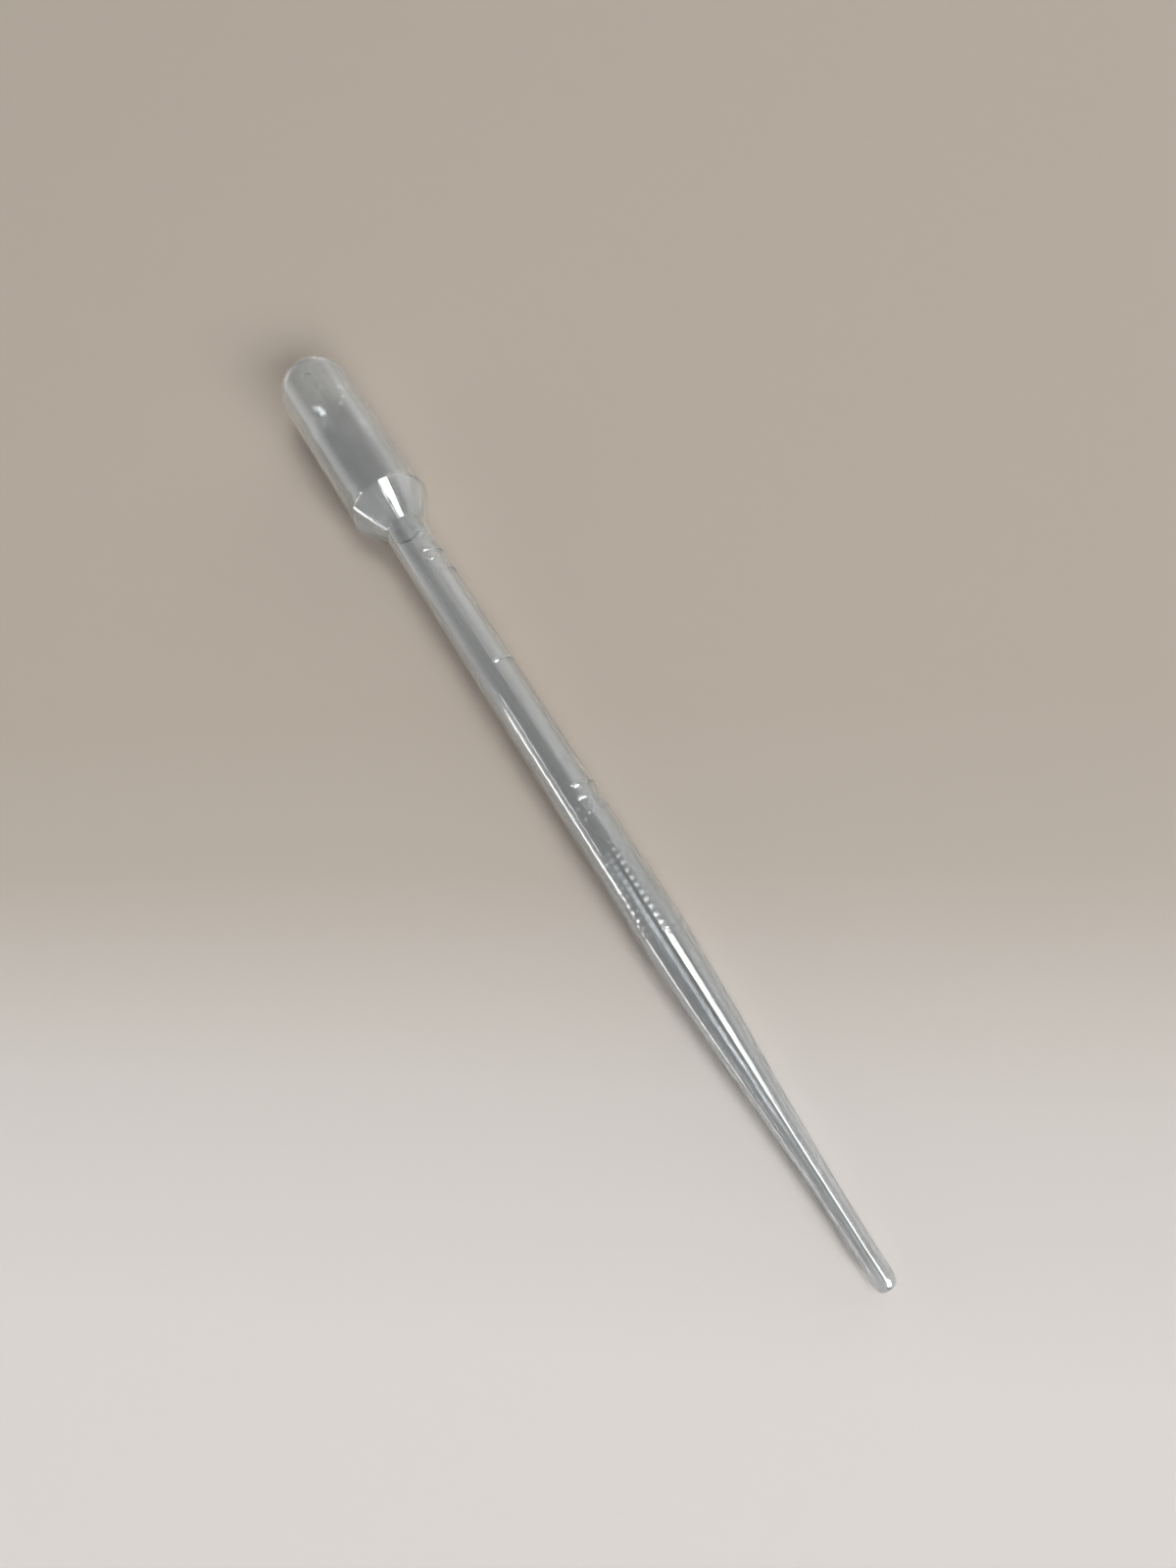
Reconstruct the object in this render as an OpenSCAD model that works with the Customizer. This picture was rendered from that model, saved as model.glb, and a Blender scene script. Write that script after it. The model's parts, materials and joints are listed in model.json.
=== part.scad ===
// Plastic dropper pipette: one blow-moulded piece, a squeeze bulb on a long stem with a drawn tip.
// It lies on its side on z = 0, with the tip towards +X. All sizes are in millimetres.

/* [Overall] */
// Length from the tip's end to the bulb's end
overall_len = 155; // [150:1:165]
// Way round that the graduations face, from straight up towards +Y
marks_turn = 45; // [0:5:90]

/* [Tip] */
// Inside diameter of the tip
tip_bore = 1.8; // [1.2:0.1:2.2]
// Wall of the tip
tip_wall = 0.5; // [0.35:0.05:0.7]
// Length of the straight tip
tip_len = 5; // [3:0.5:10]
// Length of the rounding at the tip's end
tip_round_len = 1.4; // [0.6:0.1:2]
// Depth of the rounding at the tip's end
tip_round_depth = 0.35; // [0.1:0.05:0.35]

/* [Stem] */
// Inside diameter of the stem
stem_bore = 5.4; // [5:0.1:6]
// Wall of the stem
stem_wall = 0.5; // [0.4:0.05:0.7]
// Length of the taper from the tip to the stem
taper_len = 42; // [34:1:46]
// Distance of the neck, where the stem meets the shoulder cone, from the tip's end
neck_at = 118; // [114:1:124]
// Radius of the hollow corner at the neck
neck_fillet = 0.6; // [0.3:0.1:1.2]

/* [Bulb] */
// Outside diameter of the bulb
bulb_d = 12.1; // [11:0.1:14]
// Wall of the bulb and its shoulder cone
bulb_wall = 0.45; // [0.35:0.05:0.7]
// Length of the shoulder cone
cone_len = 5.3; // [4.5:0.1:7]
// How far the shoulder's rim stands out from the bulb
rim_step = 0.25; // [0.1:0.05:0.4]
// Length over which the bulb flares out to the rim
flare_len = 3; // [2:0.5:5]
// Radius of the rim's edge
rim_round = 0.5; // [0.3:0.1:0.8]
// Radius of the rounding between the bulb's side and its end
end_round = 4.4; // [3:0.1:5]
// Radius of the domed end
end_dome = 9; // [7:0.5:14]
// Diameter of the moulding pip on the bulb's end
pip_d = 1.4; // [0.8:0.1:2]
// Height of the moulding pip
pip_h = 0.2; // [0.1:0.05:0.3]

/* [Graduations] */
// Volume between two graduation lines, in millilitres
mark_volume = 0.5; // [0.25:0.25:1]
// Distance of the first line from the tip's end
first_mark = 45.4; // [42:0.2:50]
// Clear stem kept between the last line and the neck
neck_clear = 6.5; // [5.5:0.5:10]
// How far the marks stand out from the stem
mark_h = 0.15; // [0.08:0.01:0.25]
// Width of a graduation line
line_w = 0.5; // [0.3:0.05:0.6]
// Half of the arc that a graduation line covers, in degrees
line_half_arc = 38; // [20:1:60]
// Width of the strokes of the figures and letters
stroke_w = 0.38; // [0.25:0.01:0.45]
// Height of the figures
figure_h = 3; // [2.4:0.1:3.2]
// Height of the letters
letter_h = 2.6; // [2:0.1:3]
// Gap between a line and the figure or letters beside it
mark_gap = 1.4; // [1:0.1:1.6]

/* [Hidden] */

turn_facets = 96;
stroke_facets = 32;
taper_steps = 14;
round_steps = 6;
// The bore is cut from this far outside the tip's end.
overcut = 1;

// Radii and stations of the outside, measured along the axis from the tip's end.
tip_r = tip_bore / 2 + tip_wall;
stem_r = stem_bore / 2 + stem_wall;
bulb_r = bulb_d / 2;
rim_r = bulb_r + rim_step;
taper_end = tip_len + taper_len;
rim_at = neck_at + cone_len;
cone_angle = atan2(rim_r - stem_r, cone_len);

// A wall of even thickness turns its corners further along the axis inside than outside.
neck_shift = stem_wall * tan(cone_angle / 2);
rim_shift = bulb_wall * tan(cone_angle / 2);

// The step between lines is the length of stem bore that holds the marked volume.
mark_step = mark_volume * 1000 / (PI * pow(stem_bore / 2, 2));
mark_count = floor((neck_at - neck_clear - first_mark) / mark_step) + 1;

function ease(t) = t * t * (3 - 2 * t);
function mix(a, b, t) = a + (b - a) * t;

// Points of a circular arc about c, as [station, radius].
function arc(c, r, from, to) =
    [for (i = [0:round_steps]) let (a = mix(from, to, i / round_steps)) c + r * [cos(a), sin(a)]];

// The taper is slow at both ends and straight in between.
function taper(r0, r1) =
    [for (i = [0:taper_steps]) let (t = i / taper_steps)
        [tip_len + taper_len * t, mix(r0, r1, ease(t))]];

// Stem, hollow corner, shoulder cone, rounded rim and flare, up to the bulb's side.
function shoulder(r_stem, r_bulb, neck, rim, fillet, edge) =
    let (r_rim = r_bulb + rim_step,
         angle = atan2(r_rim - r_stem, rim - neck),
         run_in = fillet * tan(angle / 2),
         run_out = edge * tan(angle / 2))
    concat(
        arc([neck - run_in, r_stem + fillet], fillet, -90, angle - 90),
        arc([rim + run_out, r_rim - edge], edge, angle + 90, 90),
        [for (i = [1:4]) [rim + run_out + flare_len * i / 4, mix(r_rim, r_bulb, ease(i / 4))]]);

// Rounded corner and domed end of the bulb, down to the axis.
function bulb_end(r_bulb, end, round_r, dome_r) =
    let (off_axis = r_bulb - round_r,
         reach = sqrt(pow(dome_r - round_r, 2) - pow(off_axis, 2)),
         meet = asin(off_axis / (dome_r - round_r)),
         centre = end - dome_r)
    concat(
        arc([centre + reach, off_axis], round_r, 90, meet),
        [for (i = [1:3]) let (a = meet * (1 - i / 3)) [centre + dome_r * cos(a), dome_r * sin(a)]]);

// The rounding at the tip's end is a quarter of an ellipse.
tip_rounding =
    [for (i = [0:round_steps]) let (a = 90 * i / round_steps)
        [tip_round_len * (1 - cos(a)), tip_r - tip_round_depth * (1 - sin(a))]];

function outside(stand_out) =
    concat(
        [[0, 0]],
        [for (p = tip_rounding) p + [0, stand_out]],
        taper(tip_r + stand_out, stem_r + stand_out),
        shoulder(stem_r + stand_out, bulb_r + stand_out, neck_at, rim_at, neck_fillet, rim_round),
        bulb_end(bulb_r + stand_out, overall_len, end_round, end_dome));

cavity =
    concat(
        [[-overcut, 0], [-overcut, tip_bore / 2]],
        taper(tip_bore / 2, stem_bore / 2),
        shoulder(stem_bore / 2, bulb_r - bulb_wall, neck_at + neck_shift, rim_at + rim_shift,
                 neck_fillet, rim_round),
        bulb_end(bulb_r - bulb_wall, overall_len - bulb_wall, end_round - bulb_wall,
                 end_dome - bulb_wall));

// Lying on a flat surface, the piece touches it at the rim and at the first point of the stem or
// tip that a line from the rim meets. These give the lean of its axis and its place.
rest_points = outside(0);
lean = atan(min([for (p = rest_points) if (p[0] < neck_at && p[1] > 0)
    (rim_r - p[1]) / (rim_at - p[0])]));
low = min([for (p = rest_points) p[0] * sin(lean) - p[1] * cos(lean)]);
tip_reach = max([for (p = rest_points) p[1] * sin(lean) - p[0] * cos(lean)]);
pip_top = overall_len + pip_h;
bulb_reach = max(concat(
    [for (p = rest_points) p[0] * cos(lean) + p[1] * sin(lean)],
    [pip_top * cos(lean) + pip_d / 2 * sin(lean)]));

// Turns a list of [station, radius] points about the piece's own upright axis.
module turned(points) {
    rotate_extrude($fn = turn_facets)
        polygon([for (p = points) [p[1], p[0]]]);
}

// A stroke with round ends between two points of the marks' flat drawing.
module stroke(from, to, width) {
    reach = norm(to - from);
    translate(from) rotate(atan2(to[1] - from[1], to[0] - from[0])) {
        translate([0, -width / 2]) square([reach, width]);
        circle(d = width, $fn = stroke_facets);
        translate([reach, 0]) circle(d = width, $fn = stroke_facets);
    }
}

// Part of a ring that is stroke_w wide, from one angle to another, with round ends.
module bow(centre, radius, from, to) {
    translate(centre) {
        intersection() {
            difference() {
                circle(r = radius + stroke_w / 2, $fn = stroke_facets);
                circle(r = radius - stroke_w / 2, $fn = stroke_facets);
            }
            polygon(concat([[0, 0]],
                [for (i = [0:4]) let (a = mix(from, to, i / 4)) 3 * radius * [cos(a), sin(a)]]));
        }
        for (a = [from, to])
            translate(radius * [cos(a), sin(a)]) circle(d = stroke_w, $fn = stroke_facets);
    }
}

module figure_one() {
    stroke([0, stroke_w / 2], [0, figure_h - stroke_w / 2], stroke_w);
    stroke([0, figure_h - stroke_w / 2], [-0.2 * figure_h, 0.78 * figure_h], stroke_w);
}

module figure_two() {
    bend = 0.25 * figure_h;
    top = figure_h - bend - stroke_w / 2;
    half = 0.28 * figure_h;
    foot = stroke_w / 2;
    shoulder_at = [bend * cos(-35), top + bend * sin(-35)];
    bow([0, top], bend, -35, 165);
    stroke(shoulder_at, [-half, foot], stroke_w);
    stroke([-half, foot], [half, foot], stroke_w);
}

module letter_m(left) {
    arch = 0.2 * letter_h;
    foot = stroke_w / 2;
    spring = letter_h - arch - stroke_w / 2;
    stroke([left, foot], [left, letter_h - stroke_w / 2], stroke_w);
    for (k = [0, 1]) {
        bow([left + arch * (2 * k + 1), spring], arch, 0, 180);
        stroke([left + 2 * arch * (k + 1), foot], [left + 2 * arch * (k + 1), spring], stroke_w);
    }
}

module letter_l(left) {
    foot = stroke_w / 2;
    stroke([left, foot], [left, letter_h - stroke_w / 2], stroke_w);
    stroke([left, foot], [left + 0.42 * letter_h, foot], stroke_w);
}

// Flat drawing of one graduation, with its line at y = 0 and the tip downwards.
module graduation(millilitres) {
    half = stem_r * sin(line_half_arc) - line_w / 2;
    stroke([-half, 0], [half, 0], line_w);
    if (millilitres == round(millilitres)) {
        translate([0, line_w / 2 + mark_gap]) {
            if (millilitres == 1) figure_one();
            if (millilitres == 2) figure_two();
        }
        translate([0, -line_w / 2 - mark_gap - letter_h]) {
            letter_m(-0.82 * letter_h);
            letter_l(0.3 * letter_h);
        }
    }
}

// Each mark is milled straight into one half of the mould, so it stands out by mark_h all over.
module marks() {
    intersection() {
        turned(outside(mark_h));
        for (i = [0:mark_count - 1])
            translate([0, 0, first_mark + i * mark_step])
                rotate([90, 0, 0])
                    linear_extrude(height = bulb_d) graduation((i + 1) * mark_volume);
    }
}

// Upright on its tip, with the marks facing -Y.
module moulding() {
    difference() {
        union() {
            turned(outside(0));
            marks();
            translate([0, 0, overall_len - end_dome / 2])
                cylinder(d = pip_d, h = end_dome / 2 + pip_h, $fn = stroke_facets);
        }
        turned(cavity);
    }
}

module pipette() {
    color([0.8, 0.82, 0.8, 0.6])
        translate([(bulb_reach - tip_reach) / 2, 0, -low])
            rotate([0, lean, 0])
                rotate([-marks_turn, 0, 0])
                    rotate([0, -90, 0])
                        rotate([0, 0, 90])
                            moulding();
}

pipette();
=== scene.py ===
"""Looks for the dropper pipette: one blow-moulded piece of hazy polyethylene on a plain pale bench."""

import json
from math import asin, atan2, cos, hypot, pi, radians, sin, sqrt, tan

import bpy
from mathutils import Matrix, Vector


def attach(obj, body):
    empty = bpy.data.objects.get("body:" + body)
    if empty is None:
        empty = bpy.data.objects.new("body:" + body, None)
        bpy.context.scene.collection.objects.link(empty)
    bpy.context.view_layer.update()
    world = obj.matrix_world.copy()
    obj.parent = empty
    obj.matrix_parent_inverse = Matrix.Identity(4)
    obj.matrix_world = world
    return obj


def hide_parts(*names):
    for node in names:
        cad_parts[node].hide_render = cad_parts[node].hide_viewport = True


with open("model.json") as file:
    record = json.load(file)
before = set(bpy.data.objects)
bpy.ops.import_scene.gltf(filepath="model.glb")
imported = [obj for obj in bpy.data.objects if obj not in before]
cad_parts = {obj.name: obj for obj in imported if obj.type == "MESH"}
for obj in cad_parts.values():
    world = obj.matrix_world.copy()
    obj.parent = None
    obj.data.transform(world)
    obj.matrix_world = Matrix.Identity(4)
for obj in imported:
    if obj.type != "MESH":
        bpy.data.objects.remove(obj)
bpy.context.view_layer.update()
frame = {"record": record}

MM = 0.001

# Sizes of the moulding in millimetres, with stations measured from the tip's end.
LENGTH = 155.0
TIP_BORE_R = 0.9
TIP_LEN = 5.0
TIP_ROUND_LEN = 1.4
TIP_ROUND_DEPTH = 0.35
BORE_EDGE = 0.12
STEM_BORE_R = 2.7
TAPER_LEN = 42.0
NECK_AT = 118.0
NECK_FILLET = 0.6
BULB_R = 6.05
BULB_WALL = 0.45
CONE_LEN = 5.3
RIM_STEP = 0.25
FLARE_LEN = 3.0
RIM_ROUND = 0.5
END_ROUND = 4.4
END_DOME = 9.0
PIP_R = 0.7
PIP_H = 0.2
PIP_PIT = 0.05

# The raised graduation marks, each stroke a rounded bead that spreads a little past its width.
MARK_VOLUME = 500.0
MARK_COUNT = 4
FIRST_MARK = 45.4
MARK_H = 0.15
MARK_SPREAD = 0.06
LINE_W = 0.5
LINE_HALF_ARC = radians(38)
STROKE_W = 0.38
FIGURE_H = 3.0
LETTER_H = 2.6
MARK_GAP = 1.4
MARKS_TURN = radians(45)

# How finely the wall is turned: close columns and rows under the marks, wider ones elsewhere.
FINE_ARC = radians(84)
FINE_STEPS = 108
PLAIN_STEPS = 50
FINE_ROW = 0.05
PLAIN_ROW = 1.2
MARK_MARGIN = 0.11
CREASE_ANGLE = radians(60)

# Faint crosswise ripples of the drawn wall round the start of the taper. Those inside are modelled,
# and the shallower ones of the skin are in the material, full between the two middle stations.
RIPPLE_FROM, RIPPLE_TO = 42.0, 60.0
RIPPLE_PITCH = 1.1
RIPPLE_ROW = 0.22
RIPPLE_DEPTH = 0.007
SKIN_RIPPLE = 0.004
SKIN_FULL_FROM, SKIN_FULL_TO = 48.0, 55.0

# Fine lines of the drawn wall: how close they lie round it and along it, their depth in metres on the
# stem, and the share of it that is left on the bulb.
LINES_ROUND, LINES_ALONG = 10.0, 5.0
LINES_DEPTH = 0.000042
LINES_ON_BULB = 0.1

# The natural plastic: soft clouds along the wall and round it, which the bulb shows more than the stem,
# and how clear, glossy and see-through the wall is.
CLOUDS_ALONG, CLOUDS_ROUND = 60, 260
CLOUDS_ON_STEM, CLOUDS_ON_BULB = 0.15, 0.85
WALL_TINTS = [(0.35, (0.79, 0.82, 0.835)), (0.65, (0.92, 0.94, 0.95))]
TIP_CLEARNESS, BULB_CLEARNESS = 0.87, 1.05
SMOOTHEST, ROUGHEST = 0.01, 0.025
SEE_THROUGH = 0.915
PLASTIC_IOR = 1.51

# The bench shades from its front to its back, in metres along the way that is up in the view.
BENCH_SIZE = 6
FLOOR_UP = (-0.843, 0.538, 0)
FLOOR_FRONT, FLOOR_BACK = -0.075, 0.005
FLOOR_TONES = [(0.0, (0.645, 0.615, 0.590)), (0.35, (0.580, 0.548, 0.518)),
               (0.7, (0.447, 0.399, 0.351)), (1.0, (0.423, 0.372, 0.320))]

# The near wall's upper edge faces this way; then how bright the walls and the rest of the room are,
# and the backdrop that stands in for them where the camera looks level.
WALL_EDGE = (-0.733, 0.470, -0.492)
FAR_WALL_LEAN, LEFT_WALL_LEAN = radians(58), radians(50)
NEAR_WALL, FAR_WALL, LEFT_WALL, ROOM_LIGHT = 1.0, 0.5, 1.0, 0.10
BACKDROP = 0.72
ROOM_COLOUR = (1.0, 0.99, 0.97, 1)

# The camera's place off the tip's end in metres, up from the axis and along it, its turns and its lens.
CAMERA_UP, CAMERA_ALONG = 0.0993, 0.03677
CAMERA_TILT, CAMERA_YAW, CAMERA_ROLL = radians(17.11), radians(1.32), radians(57.46)
CAMERA_LENS, CAMERA_SENSOR = 17.55, 36
CAMERA_NEAREST = 0.005

record = frame["record"]
mounts = {m["name"]: m for m in record["mounts"]}
tip_mount, stem_mount = mounts["tip"], mounts["stem"]
TIP_R = tip_mount["dims"]["r_mm"]
STEM_R = stem_mount["dims"]["r_mm"]
to_tip = Vector(tip_mount["axis"]).normalized()
to_bulb = -to_tip
tip_end = Vector(tip_mount["pos_m"]) + to_tip * (tip_mount["dims"]["length_mm"] / 2 + TIP_ROUND_LEN) * MM
across = Vector((0, 1, 0))
above = to_tip.cross(across).normalized()
lay_down = Matrix.Translation(tip_end) @ Matrix((above, across, to_bulb)).transposed().to_4x4()


def ease(t):
    """Slow start and slow end between 0 and 1."""
    t = min(1.0, max(0.0, t))
    return t * t * (3 - 2 * t)


def mix(a, b, t):
    """Value between a and b at the share t."""
    return a + (b - a) * t


def arc(centre, radius, start, end, steps):
    """Points of a circular arc as (station, radius from the axis)."""
    turns = [mix(start, end, i / steps) for i in range(steps + 1)]
    return [(centre[0] + radius * cos(a), centre[1] + radius * sin(a)) for a in turns]


def drawn_radius(station, tip_radius, stem_radius):
    """Radius of the taper at a station; it starts and ends softly."""
    return mix(tip_radius, stem_radius, ease((station - TIP_LEN) / TAPER_LEN))


def rows(start, end, spacing):
    """Evenly spaced stations from start to end, both included."""
    steps = round((end - start) / spacing)
    return [mix(start, end, i / steps) for i in range(steps + 1)]


def shoulder(stem_radius, bulb_radius, neck, rim):
    """Hollow corner, cone, rounded rim and flare, from the stem to the bulb's side."""
    rim_radius = bulb_radius + RIM_STEP
    slope = atan2(rim_radius - stem_radius, rim - neck)
    run_in = NECK_FILLET * tan(slope / 2)
    run_out = RIM_ROUND * tan(slope / 2)
    corner = arc((neck - run_in, stem_radius + NECK_FILLET), NECK_FILLET, -pi / 2, slope - pi / 2, 8)
    edge = arc((rim + run_out, rim_radius - RIM_ROUND), RIM_ROUND, slope + pi / 2, pi / 2, 8)
    flare = [(rim + run_out + FLARE_LEN * i / 8, mix(rim_radius, bulb_radius, ease(i / 8)))
             for i in range(1, 9)]
    return corner + edge + flare


def bulb_end(bulb_radius, end, round_radius, dome_radius):
    """Side, rounded corner and domed end of the bulb, down to the axis."""
    off_axis = bulb_radius - round_radius
    reach = sqrt((dome_radius - round_radius) ** 2 - off_axis ** 2)
    meet = asin(off_axis / (dome_radius - round_radius))
    centre = end - dome_radius
    corner = arc((centre + reach, off_axis), round_radius, pi / 2, meet, 20)
    dome = arc((centre, 0), dome_radius, meet, 0, 10)[1:]
    return corner + dome


def mark_stations():
    """Where the lines stand: as far apart as the bore needs for the volume between two of them."""
    pitch = MARK_VOLUME / (pi * STEM_BORE_R ** 2)
    return [FIRST_MARK + i * pitch for i in range(MARK_COUNT)]


def mark_zones():
    """Stretches of stem that need close rows: each line, and the figure and letters beside it."""
    zones = []
    for i, at in enumerate(mark_stations(), start=1):
        zones.append((at - LINE_W / 2, at + LINE_W / 2))
        if i % 2 == 0:
            zones.append((at - LINE_W / 2 - MARK_GAP - LETTER_H, at - LINE_W / 2 - MARK_GAP))
            zones.append((at + LINE_W / 2 + MARK_GAP, at + LINE_W / 2 + MARK_GAP + FIGURE_H))
    return [(low - MARK_MARGIN, high + MARK_MARGIN) for low, high in zones]


def in_zones(station, zones):
    """True where a station lies in one of the stretches."""
    return any(low <= station <= high for low, high in zones)


def ripple(station):
    """How far the bore's wall stands out of its plain outline, in ripples that rise and fade softly."""
    t = (station - RIPPLE_FROM) / (RIPPLE_TO - RIPPLE_FROM)
    swell = ease(4 * t) * ease(2.5 * (1 - t))
    return RIPPLE_DEPTH * swell * sin(2 * pi * (station - RIPPLE_FROM) / RIPPLE_PITCH)


def bore_outline():
    """Inside of the wall, from the bulb's end to the tip's edge."""
    wall = STEM_R - STEM_BORE_R
    slope = atan2(BULB_R + RIM_STEP - STEM_R, CONE_LEN)
    neck = NECK_AT + wall * tan(slope / 2)
    rim = NECK_AT + CONE_LEN + BULB_WALL * tan(slope / 2)
    bulb_radius = BULB_R - BULB_WALL
    end = bulb_end(bulb_radius, LENGTH - BULB_WALL, END_ROUND - BULB_WALL, END_DOME - BULB_WALL)
    stations = rows(TIP_LEN, RIPPLE_FROM, PLAIN_ROW) + rows(RIPPLE_FROM, RIPPLE_TO, RIPPLE_ROW)[1:]
    drawn = [(s, drawn_radius(s, TIP_BORE_R, STEM_BORE_R) + ripple(s)) for s in stations]
    edge = arc((BORE_EDGE, TIP_BORE_R + BORE_EDGE), BORE_EDGE, -pi / 2, -pi, 4)
    inside = drawn + shoulder(STEM_BORE_R, bulb_radius, neck, rim) + end
    return list(reversed(inside)) + edge


def skin_outline():
    """Outside of the wall, from the tip's edge to the pip on the bulb's end."""
    lead = [(TIP_ROUND_LEN * (1 - cos(a)), TIP_R - TIP_ROUND_DEPTH * (1 - sin(a)))
            for a in (pi / 2 * i / 8 for i in range(9))]
    zones = mark_zones()
    taper = [s for s in rows(TIP_LEN, TIP_LEN + TAPER_LEN, PLAIN_ROW) if not in_zones(s, zones)]
    stations = sorted(taper + [s for zone in zones for s in zone])
    stem = [(s, drawn_radius(s, TIP_R, STEM_R)) for s in stations]
    end = bulb_end(BULB_R, LENGTH, END_ROUND, END_DOME)
    dome = [p for p in end if p[1] > PIP_R + 0.06]
    top = LENGTH + PIP_H
    pip = [(LENGTH - 0.02, PIP_R + 0.03), (LENGTH + 0.03, PIP_R - 0.03), (top - 0.08, PIP_R - 0.1),
           (top - 0.02, PIP_R - 0.18), (top, PIP_R - 0.3), (top - 0.03, 0.2), (top - PIP_PIT, 0.0)]
    return lead + stem + shoulder(STEM_R, BULB_R, NECK_AT, NECK_AT + CONE_LEN) + dome + pip


def deselect_all():
    """Clears the selection, so that the next operator only takes its own piece."""
    for o in bpy.context.selected_objects:
        o.select_set(False)


def draw_wall():
    """The wall's outline as one chain of edges in the plane of Z and X, drawn point by point."""
    deselect_all()
    points = bore_outline() + skin_outline()
    bpy.ops.mesh.primitive_plane_add(size=MM)
    wall = bpy.context.object
    wall.name = "pipette_body"
    wall.data.name = "pipette_body"
    bpy.ops.object.mode_set(mode="EDIT")
    bpy.ops.mesh.merge(type="CENTER")
    bpy.ops.transform.translate(value=(points[0][1] * MM, 0, points[0][0] * MM))
    for (s0, r0), (s1, r1) in zip(points, points[1:]):
        step = ((r1 - r0) * MM, 0, (s1 - s0) * MM)
        bpy.ops.mesh.extrude_region_move(TRANSFORM_OT_translate={"value": step})
    bpy.ops.object.mode_set(mode="OBJECT")
    return wall


def close_rows(wall):
    """Cuts the skin's edges at the marks into short ones, so that the marks have rows to rise from."""
    inner = (STEM_R + STEM_BORE_R) / 2 * MM
    for low, high in mark_zones():
        for v in wall.data.vertices:
            v.select = v.co.x > inner and low - 0.01 < v.co.z / MM < high + 0.01
        for e in wall.data.edges:
            e.select = all(wall.data.vertices[i].select for i in e.vertices)
        bpy.ops.object.mode_set(mode="EDIT")
        bpy.ops.mesh.subdivide(number_cuts=round((high - low) / FINE_ROW) - 1)
        bpy.ops.mesh.select_all(action="DESELECT")
        bpy.ops.object.mode_set(mode="OBJECT")


def turn_wall(wall):
    """Spins the outline about the axis, closely over the marks and more widely round the rest."""
    bpy.ops.object.mode_set(mode="EDIT")
    bpy.ops.mesh.select_all(action="SELECT")
    for steps, angle in ((FINE_STEPS, FINE_ARC), (PLAIN_STEPS, 2 * pi - FINE_ARC)):
        bpy.ops.mesh.spin(steps=steps, angle=angle, center=(0, 0, 0), axis=(0, 0, 1))
    bpy.ops.mesh.select_all(action="SELECT")
    bpy.ops.mesh.remove_doubles(threshold=1e-6)
    bpy.ops.mesh.normals_make_consistent(inside=False)
    bpy.ops.object.mode_set(mode="OBJECT")


def segment_distance(x, y, a, b):
    """Distance of a point from the straight piece between a and b."""
    dx, dy = b[0] - a[0], b[1] - a[1]
    t = min(1.0, max(0.0, ((x - a[0]) * dx + (y - a[1]) * dy) / (dx * dx + dy * dy)))
    return hypot(x - a[0] - dx * t, y - a[1] - dy * t)


def bow(centre, radius, start, end, steps=10):
    """A bent stroke as a list of short straight ones."""
    turns = [mix(start, end, i / steps) for i in range(steps + 1)]
    points = [(centre[0] + radius * cos(a), centre[1] + radius * sin(a)) for a in turns]
    return list(zip(points, points[1:]))


def figure_one():
    """Strokes of the 1, from its foot upwards."""
    top = FIGURE_H - STROKE_W / 2
    return [((0, STROKE_W / 2), (0, top)), ((0, top), (-0.2 * FIGURE_H, 0.78 * FIGURE_H))]


def figure_two():
    """Strokes of the 2: the bow, the long slant and the foot."""
    bend = 0.25 * FIGURE_H
    top = FIGURE_H - bend - STROKE_W / 2
    half, foot = 0.28 * FIGURE_H, STROKE_W / 2
    low, high = radians(-35), radians(165)
    hip = (bend * cos(low), top + bend * sin(low))
    slant, base = (hip, (-half, foot)), ((-half, foot), (half, foot))
    return bow((0, top), bend, low, high) + [slant, base]


def letter_m(left):
    """Strokes of the m: one straight leg, and two bows that each end in a leg."""
    leg, foot = 0.2 * LETTER_H, STROKE_W / 2
    spring = LETTER_H - leg - STROKE_W / 2
    strokes = [((left, foot), (left, LETTER_H - STROKE_W / 2))]
    for k in (0, 1):
        strokes += bow((left + leg * (2 * k + 1), spring), leg, 0, pi)
        right = left + 2 * leg * (k + 1)
        strokes.append(((right, foot), (right, spring)))
    return strokes


def letter_l(left):
    """Strokes of the L: the upright and the foot."""
    foot = STROKE_W / 2
    corner = (left, foot)
    return [(corner, (left, LETTER_H - STROKE_W / 2)), (corner, (left + 0.42 * LETTER_H, foot))]


def graduation_strokes():
    """Every stroke as (start, end, half width): across the stem, and along it from the tip."""
    strokes = []
    figures = {2: figure_one(), 4: figure_two()}
    half = STEM_R * sin(LINE_HALF_ARC) - LINE_W / 2
    letters = letter_m(-0.82 * LETTER_H) + letter_l(0.3 * LETTER_H)
    for i, at in enumerate(mark_stations(), start=1):
        strokes.append(((-half, at), (half, at), LINE_W / 2))
        if i in figures:
            up = at + LINE_W / 2 + MARK_GAP
            down = at - LINE_W / 2 - MARK_GAP - LETTER_H
            for base, group in ((up, figures[i]), (down, letters)):
                strokes += [((a[0], a[1] + base), (b[0], b[1] + base), STROKE_W / 2) for a, b in group]
    return strokes


def bead(distance, half_width):
    """Height of a rounded bead, from 1 on its crest to 0 at its foot."""
    foot = half_width + MARK_SPREAD
    if distance >= foot:
        return 0.0
    radius = (foot ** 2 + MARK_H ** 2) / (2 * MARK_H)
    return (sqrt(radius ** 2 - distance ** 2) - radius + MARK_H) / MARK_H


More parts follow.
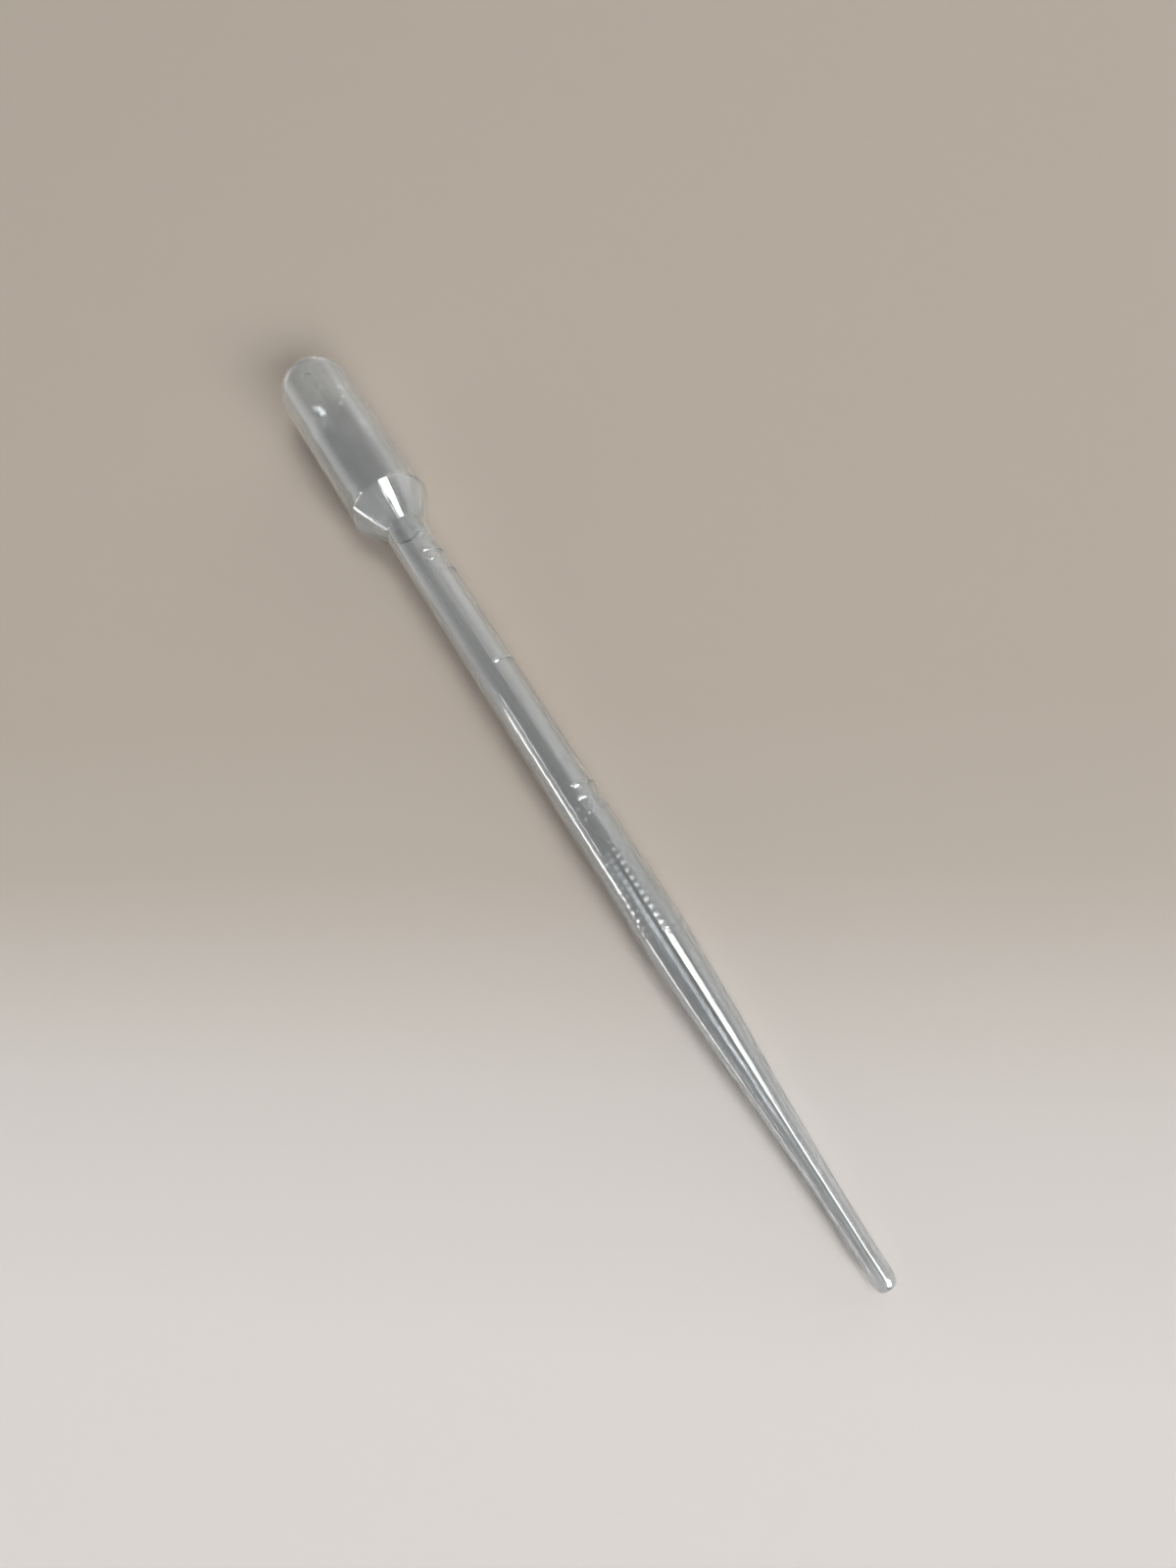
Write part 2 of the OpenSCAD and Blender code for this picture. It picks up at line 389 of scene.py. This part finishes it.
def raise_marks(wall):
    """Lifts the skin over each stroke into a rounded bead."""
    strokes = graduation_strokes()
    zones = mark_zones()
    group = wall.vertex_groups.new(name="marks")
    middle = FINE_ARC / 2
    for v in wall.data.vertices:
        radius, station = hypot(v.co.x, v.co.y) / MM, v.co.z / MM
        turn = atan2(v.co.y, v.co.x) - middle
        if radius < STEM_R - 0.1 or abs(turn) > middle or not in_zones(station, zones):
            continue
        x = radius * sin(turn)
        lift = max(bead(segment_distance(x, station, a, b), w) for a, b, w in strokes)
        if lift > 0:
            group.add([v.index], lift, "REPLACE")
    raised = wall.modifiers.new("marks", "DISPLACE")
    raised.vertex_group = "marks"
    raised.mid_level = 0
    raised.strength = MARK_H * MM
    bpy.ops.object.modifier_apply(modifier="marks")
    wall.vertex_groups.clear()


def model_pipette():
    """Draws, turns and marks the wall, and lays it down as it rests."""
    wall = draw_wall()
    close_rows(wall)
    turn_wall(wall)
    raise_marks(wall)
    # The marks' middle column turns to face half-way between up and +Y.
    wall.matrix_world = lay_down @ Matrix.Rotation(MARKS_TURN - FINE_ARC / 2, 4, "Z")
    bpy.ops.object.transform_apply(location=True, rotation=True, scale=True)
    bpy.ops.object.shade_smooth_by_angle(angle=CREASE_ANGLE)
    return wall


class Nodes:
    """Small helper that places and joins the nodes of a material or of the room."""

    def __init__(self, owner):
        owner.use_nodes = True
        self.tree = owner.node_tree

    def add(self, kind, values=None, **settings):
        """A new node: values fill its sockets, with numbers or with other nodes' outputs."""
        node = self.tree.nodes.new("ShaderNode" + kind)
        for key, value in settings.items():
            setattr(node, key, value)
        for key, value in (values or {}).items():
            self.set(node, key, value)
        return node

    def set(self, node, key, value):
        """Fills one socket with a number or with another node's output."""
        if isinstance(value, bpy.types.NodeSocket):
            self.tree.links.new(value, node.inputs[key])
        else:
            node.inputs[key].default_value = value

    def number(self, operation, a, b=0.0):
        return self.add("Math", {0: a, 1: b}, operation=operation).outputs[0]

    def vector(self, operation, a, b=(0.0, 0.0, 0.0)):
        return self.add("VectorMath", {0: a, 1: b}, operation=operation).outputs[0]

    def along(self, a, b):
        """How far vector a reaches along vector b."""
        return self.add("VectorMath", {0: a, 1: b}, operation="DOT_PRODUCT").outputs["Value"]

    def span(self, value, start, end, low=0.0, high=1.0, **settings):
        """The value between start and end, spread from low to high and held there beyond them."""
        return self.add("MapRange", {"Value": value, "From Min": start, "From Max": end, "To Min": low,
                                     "To Max": high}, **settings).outputs[0]

    def blend(self, share, a, b):
        return self.add("Mix", {"Factor": share, "A": a, "B": b}).outputs[0]

    def noise(self, place, **values):
        return self.add("TexNoise", {"Vector": place, "Scale": 1.0, **values}).outputs[0]

    def ramp(self, factor, stops):
        """Colour at a factor, between the colours of the stops."""
        node = self.add("ValToRGB", {"Fac": factor})
        elements = node.color_ramp.elements
        for position, _ in stops[1:-1]:
            elements.new(position)
        for element, (position, colour) in zip(elements, stops):
            element.position = position
            element.color = [*colour, 1]
        return node.outputs["Color"]


def polyethylene():
    """Natural polyethylene: a hazy glossy wall with fine lines along it and ripples across it."""
    material = bpy.data.materials.new("natural_polyethylene")
    n = Nodes(material)
    shader = n.tree.nodes["Principled BSDF"]
    place = n.add("TexCoord").outputs["Object"]
    # Along the axis is x, so that the lines run with the wall and close in on the tip with it.
    local = n.add("Mapping", {"Vector": place, "Location": tip_end, "Rotation": (0, asin(to_bulb.z), 0)},
                  vector_type="TEXTURE").outputs[0]
    outward = n.vector("MULTIPLY", local, (0, 1, 1))
    radius = n.add("VectorMath", {0: outward}, operation="LENGTH").outputs["Value"]
    station = n.number("ABSOLUTE", n.along(local, (1, 0, 0)))

    def stem_to_bulb(low, high):
        """One value on the stem and another on the bulb's side."""
        return n.span(radius, STEM_R * MM, BULB_R * MM, low, high)

    round_wall = n.vector("MULTIPLY", n.vector("NORMALIZE", outward), (0, LINES_ROUND, LINES_ROUND))
    down_wall = n.vector("MULTIPLY", local, (LINES_ALONG, 0, 0))
    lines = n.noise(n.vector("ADD", round_wall, down_wall), Detail=1.0, Roughness=0.5)
    cloud = n.noise(n.vector("MULTIPLY", local, (CLOUDS_ALONG, CLOUDS_ROUND, CLOUDS_ROUND)), Detail=2.0)

    # The blown bulb is cloudy where the drawn stem is lined, and its thinner wall is clearer.
    tint = n.ramp(n.blend(stem_to_bulb(CLOUDS_ON_STEM, CLOUDS_ON_BULB), lines, cloud), WALL_TINTS)
    clear = n.span(station, 0.0, LENGTH * MM, TIP_CLEARNESS, BULB_CLEARNESS)
    colour = n.add("VectorMath", {0: tint, "Scale": clear}, operation="SCALE").outputs[0]
    n.set(shader, "Base Color", colour)
    n.set(shader, "Roughness", n.span(cloud, 0.3, 0.7, SMOOTHEST, ROUGHEST))

    # The lines get finer with the wall towards the tip, and the ripples rise and fade along it.
    depth = n.number("MULTIPLY", radius, LINES_DEPTH / (STEM_R * MM))
    lined = n.number("MULTIPLY", n.number("MULTIPLY", lines, stem_to_bulb(1.0, LINES_ON_BULB)), depth)
    waves = n.number("SINE", n.number("MULTIPLY", station, 2 * pi / (RIPPLE_PITCH * MM)))
    rise, fade = (n.span(station, start * MM, end * MM, interpolation_type="SMOOTHSTEP")
                  for start, end in ((RIPPLE_FROM, SKIN_FULL_FROM), (RIPPLE_TO, SKIN_FULL_TO)))
    swell = n.number("MULTIPLY", n.number("MULTIPLY", rise, fade), SKIN_RIPPLE * MM)
    height = n.number("ADD", lined, n.number("MULTIPLY", waves, swell))
    n.set(shader, "Normal", n.add("Bump", {"Height": height, "Strength": 1.0, "Distance": 1.0}).outputs[0])
    n.set(shader, "IOR", PLASTIC_IOR)
    n.set(shader, "Transmission Weight", SEE_THROUGH)
    return material


def bench():
    """A plain floor that shades softly from warm grey at the back to pale at the front."""
    bpy.ops.mesh.primitive_plane_add(size=BENCH_SIZE)
    floor = bpy.context.object
    floor.name = "bench"
    material = bpy.data.materials.new("bench_paper")
    n = Nodes(material)
    shader = n.tree.nodes["Principled BSDF"]
    reach = n.along(n.add("TexCoord").outputs["Object"], FLOOR_UP)
    n.set(shader, "Base Color", n.ramp(n.span(reach, FLOOR_FRONT, FLOOR_BACK), FLOOR_TONES))
    n.set(shader, "Roughness", 1.0)
    n.set(shader, "Specular IOR Level", 0.0)
    floor.data.materials.append(material)


def toward(along, sideways):
    """Direction at an angle off straight up along +X, and sideways to +Y."""
    return Vector((sin(along), sin(sideways) * cos(along), cos(sideways) * cos(along)))


def lamp(name, along, sideways, radiance, distance, on_floor=False, in_gloss=False, through_wall=False):
    """A soft rectangular lamp between two angles each way, and where its light shows."""
    away = toward(sum(along) / 2, sum(sideways) / 2)
    level = Vector((1, 0, 0))
    level = (level - away * away.dot(level)).normalized()
    light = bpy.data.lights.new(name, "AREA")
    light.shape = "RECTANGLE"
    light.size = 2 * distance * tan(abs(along[1] - along[0]) / 2)
    light.size_y = 2 * distance * tan(abs(sideways[1] - sideways[0]) / 2)
    # Blender takes a lamp's radiance as a quarter of its energy over its area.
    light.energy = radiance * 4 * light.size * light.size_y
    lit = bpy.data.objects.new(name, light)
    bpy.context.scene.collection.objects.link(lit)
    turn = Matrix((level, away.cross(level), away)).transposed().to_4x4()
    lit.matrix_world = Matrix.Translation(away * distance) @ turn
    lit.visible_camera = False
    lit.visible_diffuse = on_floor
    lit.visible_glossy = in_gloss
    lit.visible_transmission = through_wall
    if through_wall:
        # The clear wall would let it through to the floor, and the shadow would be too pale.
        n = Nodes(light)
        depth = n.add("LightPath").outputs["Diffuse Depth"]
        n.set(n.tree.nodes["Emission"], "Strength", n.number("LESS_THAN", depth, 0.5))


def degrees(low, high):
    """Two angles given in degrees."""
    return radians(low), radians(high)


def room():
    """The room round the bench: dim overhead, with pale walls low down on both sides."""
    world = bpy.data.worlds.new("room")
    bpy.context.scene.world = world
    n = Nodes(world)
    direction = n.add("TexCoord").outputs["Generated"]

    def beyond(edge, soft):
        """Rises from 0 to 1 where the direction passes the plane that faces edge."""
        return n.span(n.along(direction, edge), *soft, interpolation_type="SMOOTHSTEP")

    def lower_than(angle, side):
        """Facing of a plane along X that leans at an angle off straight up, on the +Y or -Y side."""
        return (0, side * cos(angle), -sin(angle))

    # Each wall is where the direction is past its upper edge and on its own stretch along X.
    to_front, to_back = (1, 0, 0), (-1, 0, 0)
    walls = (
        (NEAR_WALL, beyond(WALL_EDGE, (-0.01, 0.03)), beyond(to_front, (-0.64, -0.60))),
        (FAR_WALL, beyond(lower_than(FAR_WALL_LEAN, 1), (-0.05, 0.2)), beyond(to_back, (0.60, 0.64))),
        (LEFT_WALL, beyond(lower_than(LEFT_WALL_LEAN, -1), (-0.1, 0.3)), beyond(to_back, (-0.02, 0.15))),
    )
    light = ROOM_LIGHT
    for level, height, stretch in walls:
        wall = n.number("MULTIPLY", height, stretch)
        light = n.number("ADD", n.number("MULTIPLY", wall, level), light)
    # A camera that looks level sees a plain pale backdrop instead of the room's walls.
    seen = n.add("LightPath").outputs["Is Camera Ray"]
    sky = n.tree.nodes["Background"]
    n.set(sky, "Color", ROOM_COLOUR)
    n.set(sky, "Strength", n.blend(seen, light, BACKDROP))


def light_the_bench():
    """Two lamps for the bench, and those that the wall shows as stripes, lines and glints."""
    # Lamps that overlap stand at different distances, because in one plane they hide each other.
    lamp("window_lamp", degrees(-2, 30), degrees(9, 28), 4.8, 3.0, on_floor=True)
    lamp("low_lamp", degrees(55, 71), degrees(-4, 28), 18.0, 6.0, on_floor=True)
    lamp("window_glare", degrees(-1, 18), degrees(10, 33), 18.0, 2.5, in_gloss=True, through_wall=True)
    lamp("window_glare_foot", degrees(18, 30), degrees(13, 28), 18.0, 2.5, in_gloss=True, through_wall=True)
    lamp("inner_glare", degrees(-9, 8), degrees(12, 33), 24.0, 3.4, through_wall=True)
    lamp("mark_glint", degrees(32, 52), degrees(16, 46), 60.0, 3.8, in_gloss=True)
    lamp("bulb_glint", degrees(20, 40), degrees(24, 46), 24.0, 4.2, through_wall=True)
    lamp("low_tube", degrees(-4, 28), degrees(-87, -83), 16.0, 3.0, in_gloss=True, through_wall=True)
    lamp("side_tube", degrees(-24, -6), degrees(-47, -43), 58.0, 3.2, in_gloss=True, through_wall=True)
    lamp("outer_side_tube", degrees(-24, -6), degrees(-69, -64), 36.0, 3.2, in_gloss=True, through_wall=True)
    room()


def set_camera():
    """The camera looks down on the tip's half and is tilted along the pipette towards the bulb."""
    look = sin(CAMERA_TILT) * to_bulb - cos(CAMERA_TILT) * above
    right = -(cos(CAMERA_TILT) * to_bulb + sin(CAMERA_TILT) * above)
    forward = cos(CAMERA_YAW) * look + sin(CAMERA_YAW) * across
    up = cos(CAMERA_YAW) * across - sin(CAMERA_YAW) * look
    level = cos(CAMERA_ROLL) * right + sin(CAMERA_ROLL) * up
    upright = -sin(CAMERA_ROLL) * right + cos(CAMERA_ROLL) * up
    view = bpy.data.cameras.new("camera")
    view.lens = CAMERA_LENS
    view.sensor_width = CAMERA_SENSOR
    view.clip_start = CAMERA_NEAREST
    camera = bpy.data.objects.new("camera", view)
    bpy.context.scene.collection.objects.link(camera)
    place = tip_end + CAMERA_ALONG * to_bulb + CAMERA_UP * above
    turn = Matrix((level, upright, -forward)).transposed().to_4x4()
    camera.matrix_world = Matrix.Translation(place) @ turn
    bpy.context.scene.camera = camera


set_camera()
pipette = model_pipette()
pipette.data.materials.append(polyethylene())
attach(pipette, "root")
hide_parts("pipette")
bench()
light_the_bench()
bpy.context.scene.view_settings.view_transform = "Standard"
